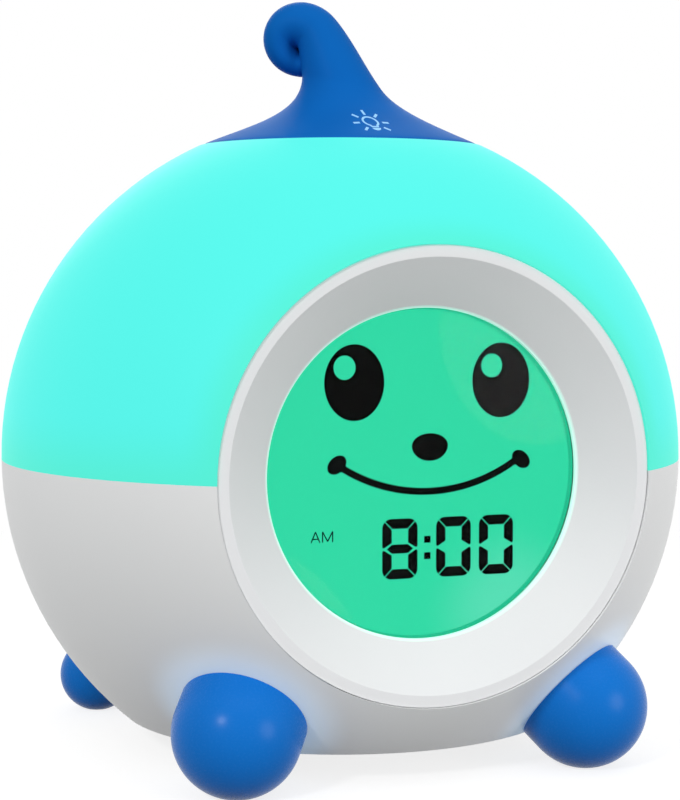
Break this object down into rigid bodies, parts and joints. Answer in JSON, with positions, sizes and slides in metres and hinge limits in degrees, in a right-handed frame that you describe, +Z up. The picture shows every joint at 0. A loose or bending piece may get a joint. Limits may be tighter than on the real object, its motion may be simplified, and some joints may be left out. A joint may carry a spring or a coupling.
{
  "type": "kids alarm clock with night light",
  "caption": "Ball-shaped children's alarm clock on round feet, with a round backlit display in a dished bezel, a glowing night-light dome and a curled press key on top.",
  "frame": {"origin": "on the table under the middle of the ball, at the centre of the footprint", "axes": "+Z up, the display faces -Y, +X is to the right when the display is looked at"},
  "size_m": [0.13, 0.1033, 0.1418],
  "materials": {
    "white_housing": "satin moulded ABS",
    "white_bezel": "satin moulded ABS",
    "white_panel": "fine-grained moulded ABS",
    "white_button": "moulded ABS",
    "white_inner_plastic": "moulded ABS, bright white inside",
    "glowing_dome": "milky translucent polycarbonate, lit cyan from inside",
    "clear_window": "clear acrylic window",
    "lcd_green": "display glass, lit green from behind",
    "blue_key": "satin, soft-touch",
    "blue_foot": "satin, soft-touch",
    "connector_rubber": "layered conductive silicone",
    "circuit_board": "green solder resist on glass-epoxy",
    "white_board": "white solder resist on glass-epoxy",
    "led_white": "light-emitting diode package",
    "black_epoxy": "moulded epoxy",
    "capacitor_can": "sleeveless can",
    "connector_nylon": "nylon",
    "plunger_acetal": "acetal",
    "screw_steel": "zinc-plated steel",
    "spring_steel": "spring steel",
    "speaker_steel": "pressed steel",
    "speaker_paper": "pressed paper cone",
    "inlet_steel": "nickel-plated steel",
    "contact_nickel": "nickel-plated steel",
    "cell_jacket": "plain shrink jacket",
    "red_lead": "PVC insulation",
    "yellow_lead": "PVC insulation",
    "black_lead": "PVC insulation"
  },
  "bodies": {
    "clock": {"lower_housing": "white_housing", "light_dome": "glowing_dome", "front_bezel": "white_bezel", "display_lens": "clear_window", "lcd_frame": "white_inner_plastic", "lcd_panel": "lcd_green", "zebra_strips": "connector_rubber", "backlight_diffuser": "white_inner_plastic", "main_board": "circuit_board", "backlight_leds": "led_white", "board_chips": "black_epoxy", "board_capacitors": "capacitor_can", "board_connectors": "connector_nylon", "board_screws": "screw_steel", "display_screws": "screw_steel", "reflector_tray": "white_inner_plastic", "night_light_board": "white_board", "night_light_leds": "led_white", "tray_screws": "screw_steel", "cap_spring": "spring_steel", "cap_switch_board": "circuit_board", "cap_switch": "black_epoxy", "cap_switch_screws": "screw_steel", "rear_panel": "white_panel", "button_board": "circuit_board", "button_switches": "black_epoxy", "button_board_screws": "screw_steel", "rear_panel_screws": "screw_steel", "speaker_basket": "speaker_steel", "speaker_cone": "speaker_paper", "speaker_magnet": "speaker_steel", "usb_inlet": "inlet_steel", "power_board": "circuit_board", "batteries": "cell_jacket", "battery_contacts": "contact_nickel", "battery_springs": "contact_nickel", "front_foot_left": "blue_foot", "front_foot_right": "blue_foot", "rear_foot_left": "blue_foot", "rear_foot_right": "blue_foot", "foot_screws": "screw_steel", "speaker_leads": "red_lead", "key_switch_leads": "yellow_lead", "power_leads": "black_lead"},
    "curl_key": {"curl_cap": "blue_key", "cap_plunger": "plunger_acetal", "cap_retainer": "spring_steel"},
    "set_button": {"set_button": "white_button"},
    "up_button": {"up_button": "white_button"},
    "sound_button": {"sound_button": "white_button"},
    "alarm_button": {"alarm_button": "white_button"},
    "down_button": {"down_button": "white_button"},
    "volume_button": {"volume_button": "white_button"},
    "battery_door": {"battery_door": "white_housing", "battery_door_screws": "screw_steel"}
  },
  "joints": [
    {"name": "curl_key_press", "type": "slide", "parent": "clock", "child": "curl_key", "axis": [0, 0, -1], "range_m": [0, 0.0012], "stiffness_N_per_m": 400, "springref_m": -0.003, "deforming": ["cap_spring"]},
    {"name": "set_button_press", "type": "slide", "parent": "clock", "child": "set_button", "axis": [0, -1, 0], "range_m": [0, 0.0008], "stiffness_N_per_m": 600, "springref_m": -0.002},
    {"name": "up_button_press", "type": "slide", "parent": "clock", "child": "up_button", "axis": [0, -1, 0], "range_m": [0, 0.0008], "stiffness_N_per_m": 600, "springref_m": -0.002},
    {"name": "sound_button_press", "type": "slide", "parent": "clock", "child": "sound_button", "axis": [0, -1, 0], "range_m": [0, 0.0008], "stiffness_N_per_m": 600, "springref_m": -0.002},
    {"name": "alarm_button_press", "type": "slide", "parent": "clock", "child": "alarm_button", "axis": [0, -1, 0], "range_m": [0, 0.0008], "stiffness_N_per_m": 600, "springref_m": -0.002},
    {"name": "down_button_press", "type": "slide", "parent": "clock", "child": "down_button", "axis": [0, -1, 0], "range_m": [0, 0.0008], "stiffness_N_per_m": 600, "springref_m": -0.002},
    {"name": "volume_button_press", "type": "slide", "parent": "clock", "child": "volume_button", "axis": [0, -1, 0], "range_m": [0, 0.0008], "stiffness_N_per_m": 600, "springref_m": -0.002},
    {"name": "battery_door_lift_off", "type": "slide", "parent": "clock", "child": "battery_door", "axis": [0, 0, -1], "range_m": [0, 0.012]}
  ]
}
